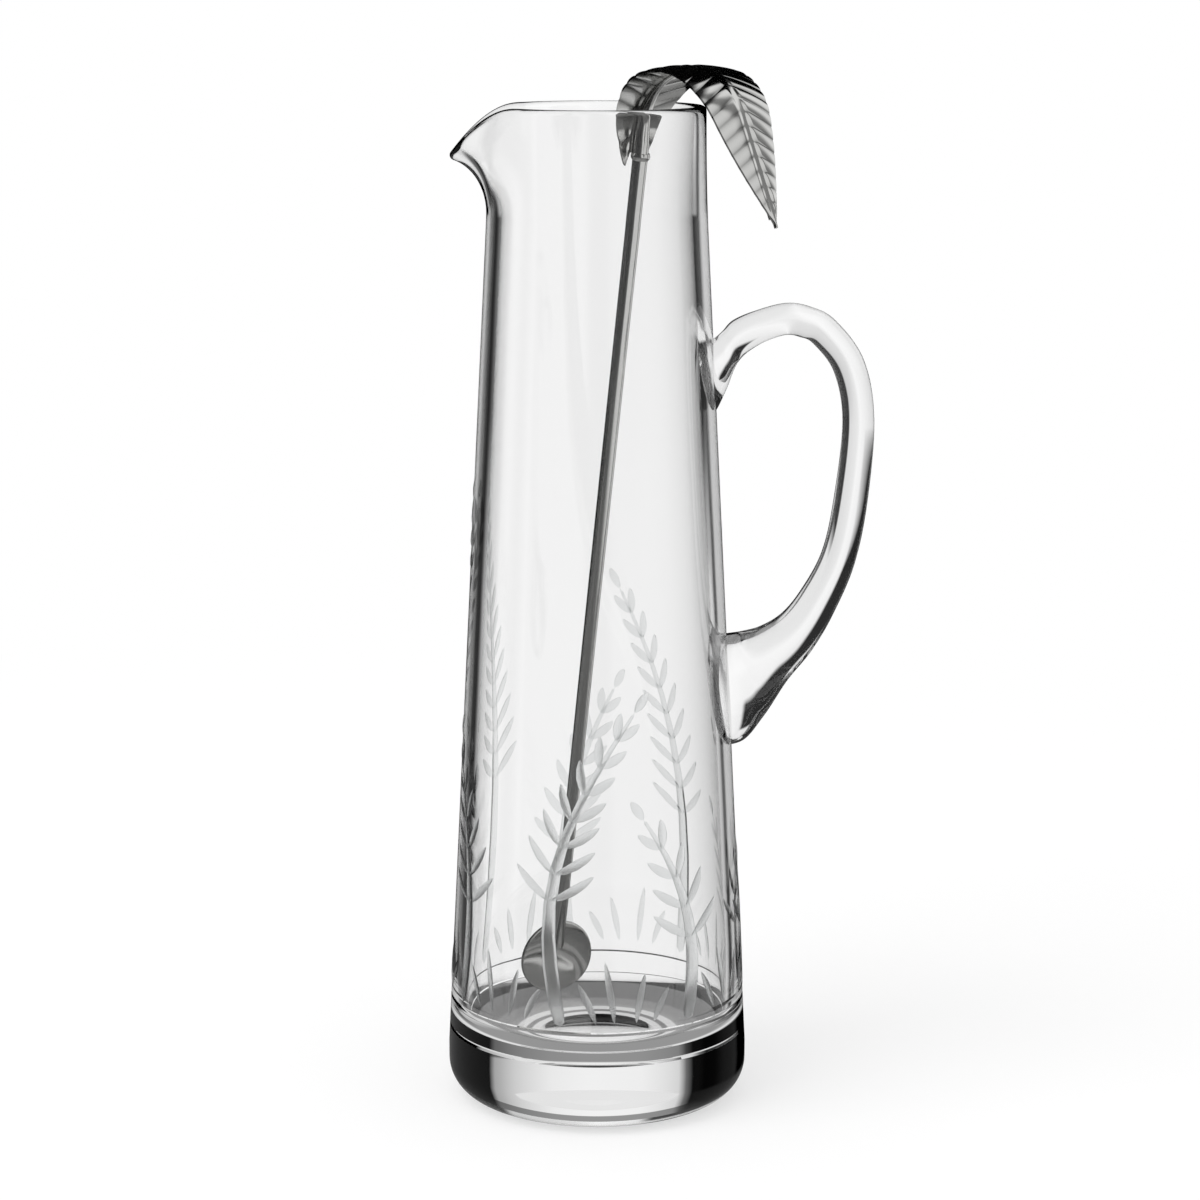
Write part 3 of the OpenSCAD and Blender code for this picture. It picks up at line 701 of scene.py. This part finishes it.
rodLean = math.atan(stirrer["run"] / rodRise)
rodLength = math.hypot(stirrer["run"], rodRise)
rodFoot = paddleRadius - stirrer["slot"]
stirrerPlace = (Matrix.Translation((*stirrer["paddlePlace"], footHeight))
                @ Matrix.Rotation(math.radians(-stirrer["turn"]), 4, "Z")
                @ Matrix.Rotation(rodLean, 4, "Y"))

edge = stirrer["edge"]
footRadius = stirrer["rodFoot"] / 2
rodOutline = [(0, rodFoot)]
rodOutline += arcPoints(footRadius - edge, rodFoot + edge, edge, -90, 0, stirrer["edgeSteps"])
shares = [i / stirrer["taperSteps"] for i in range(1, stirrer["taperSteps"] + 1)]
rodOutline += [(mix(footRadius, rodRadius, t), mix(rodFoot, rodLength, t)) for t in shares]
rodOutline.append((0, rodLength))
bm = spinOutline(rodOutline, stirrer["rodSides"])
bmesh.ops.transform(bm, matrix=stirrerPlace, verts=bm.verts)
makePiece(bm, "stirrerRod", "stirrer", rodPlate, "stirrer_rod", stirrer["sharpAngle"])

# a bead of braze where the leaf's stalk meets the rod
beadOutline = [(0, rodLength + stirrer["bead"][0][1])]
beadOutline += [(rodRadius + off, rodLength + height) for off, height in stirrer["bead"]]
beadOutline.append((0, rodLength + stirrer["beadTop"]))
bm = spinOutline(beadOutline, stirrer["beadSides"])
bmesh.ops.transform(bm, matrix=stirrerPlace, verts=bm.verts)
makePiece(bm, "brazeBead", "stirrer", rodPlate, None, stirrer["sharpAngle"])

half = stirrer["paddleThickness"] / 2
discOutline = [(0, -half), (paddleRadius / 2, -half)]
discOutline += arcPoints(paddleRadius - half, 0, half, -90, 90, stirrer["rimSteps"])
discOutline += [(paddleRadius / 2, half), (0, half)]
bm = spinOutline(discOutline, stirrer["paddleSides"])
stand = Matrix.Rotation(math.radians(stirrer["paddleTurn"]), 4, "Z")
stand = stand @ Matrix.Rotation(math.radians(90), 4, "X")
bmesh.ops.transform(bm, matrix=stirrerPlace @ stand, verts=bm.verts)
makePiece(bm, "stirrerPaddle", "stirrer", rodPlate, "stirrer_paddle",
          stirrer["sharpAngle"])

# leaf
leaf = {
    "halfWidth": 14, "thickness": 1.2, "edgeThinning": 0.45, "tip": 0.4, "taper": 1.13,
    "leg": 4.5, "archRadius": 24.5, "archTurn": 146, "drop": 33, "turn": 8,
    "veinPitch": 4.6, "veinHeight": 0.36, "veinSlant": 0.54, "veinFade": 1.5,
    "lobePower": 0.4, "lobeDrop": 4.5, "lobeLength": 20, "edgeNotch": 0.02,
    "camber": 1, "baseShare": 0.25, "wideShare": 0.25,
    # the stalk narrows to the midrib over the length "stalk"
    "stalk": 30, "midribShare": 0.25, "stalkLimit": 0.7, "midribReach": 0.97,
    "rows": 300, "columns": 48, "stalkSteps": 90, "stalkSides": 24, "sharpAngle": 50,
}
archLength = leaf["archRadius"] * math.radians(leaf["archTurn"])
leafLength = leaf["leg"] + archLength + leaf["drop"]


def leafAngle(s):
    return min(math.radians(leaf["archTurn"]), max(0, s - leaf["leg"]) / leaf["archRadius"])


def leafMiddle(s):
    # place and outer direction of the sheet's middle, in the plane of its arch
    a = leafAngle(s)
    rest = s - leaf["leg"] if s < leaf["leg"] else max(0, s - leaf["leg"] - archLength)
    x = -rodRadius - leaf["thickness"] / 2 + leaf["archRadius"] * (1 - math.cos(a)) + rest * math.sin(a)
    z = rodLength + leaf["leg"] + leaf["archRadius"] * math.sin(a) + rest * math.cos(a)
    return Vector((x, 0, z)), Vector((-math.cos(a), 0, math.sin(a)))


def leafHalf(s):
    u, wide = s / leafLength, leaf["wideShare"]
    if u < wide:
        share = leaf["baseShare"] + (1 - leaf["baseShare"]) * math.sin(math.pi / 2 * max(0, u) / wide)
    else:
        share = math.cos(math.pi / 2 * min(1, (u - wide) / (1 - wide)) ** leaf["taper"])
    return max(leaf["tip"], leaf["halfWidth"] * share)


def stalkRadius(s):
    narrowed = rodRadius * mix(1, leaf["midribShare"], smoothStep(s / leaf["stalk"]))
    return min(narrowed, leafHalf(s) * leaf["stalkLimit"])


def leafPoint(s, across, side):
    # across runs from -1 to 1 over the width, side is 1 outside and -1 underneath
    width = leafHalf(s)
    y = across * width
    off = max(0, abs(y) - stalkRadius(s))
    lobe = leaf["lobeDrop"] * off / (width - stalkRadius(s)) * (1 - smoothStep(s / leaf["lobeLength"]))
    at = s + leaf["veinSlant"] * off - lobe
    swell = abs(math.sin(math.pi * s / leaf["veinPitch"])) ** leaf["lobePower"]
    fade = smoothStep((abs(y) - stalkRadius(s)) / leaf["veinFade"])
    fade *= 1 - smoothStep(s / leafLength) * abs(across) / 2
    lift = leaf["veinHeight"] * (swell * fade) - leaf["camber"] * across ** 2 * width / leaf["halfWidth"]
    thick = leaf["thickness"] * (1 - leaf["edgeThinning"] * abs(across) ** 4) / 2
    place, normal = leafMiddle(at)
    spot = place + normal * (lift + side * thick)
    notch = leaf["edgeNotch"] * (1 - swell) * abs(across)
    # the second value is painted shade, strongest in the troughs between the veins and away from the stalk
    return Vector((spot.x, y * (1 - notch), spot.z)), (1 - swell) * fade


bm = bmesh.new()
# painted shade in the vein troughs, read by the leaf's material
troughShade = bm.verts.layers.float.new("troughShade")
loops = []
for side in (1, -1):
    made = bmesh.ops.create_grid(bm, x_segments=leaf["rows"], y_segments=leaf["columns"], size=0.5)
    for v in made["verts"]:
        s, across = (v.co.x + 0.5) * leafLength, v.co.y * 2
        v.co, v[troughShade] = leafPoint(s, across, side)
    loops += [e for e in {e for v in made["verts"] for e in v.link_edges} if e.is_boundary]
bmesh.ops.bridge_loops(bm, edges=loops)
bmesh.ops.recalc_face_normals(bm, faces=bm.faces)

# stalk and midrib: a round wire under the sheet, from the rod to near the tip
circles = []
for number in range(leaf["stalkSteps"] + 1):
    s = leafLength * leaf["midribReach"] * number / leaf["stalkSteps"]
    place, normal = leafMiddle(s)
    radius = stalkRadius(s)
    middle = place - normal * (leaf["thickness"] / 2 + radius)
    circles.append(circleMatrix(middle, normal, radius, radius, (normal.z, 0, -normal.x)))
bridgeCircles(bm, circles, leaf["stalkSides"])
leafPlace = stirrerPlace @ Matrix.Rotation(math.radians(-leaf["turn"]), 4, "Z")
bmesh.ops.transform(bm, matrix=leafPlace, verts=bm.verts)
makePiece(bm, "stirrerLeaf", "stirrer", leafPlate, "stirrer_leaf", leaf["sharpAngle"])
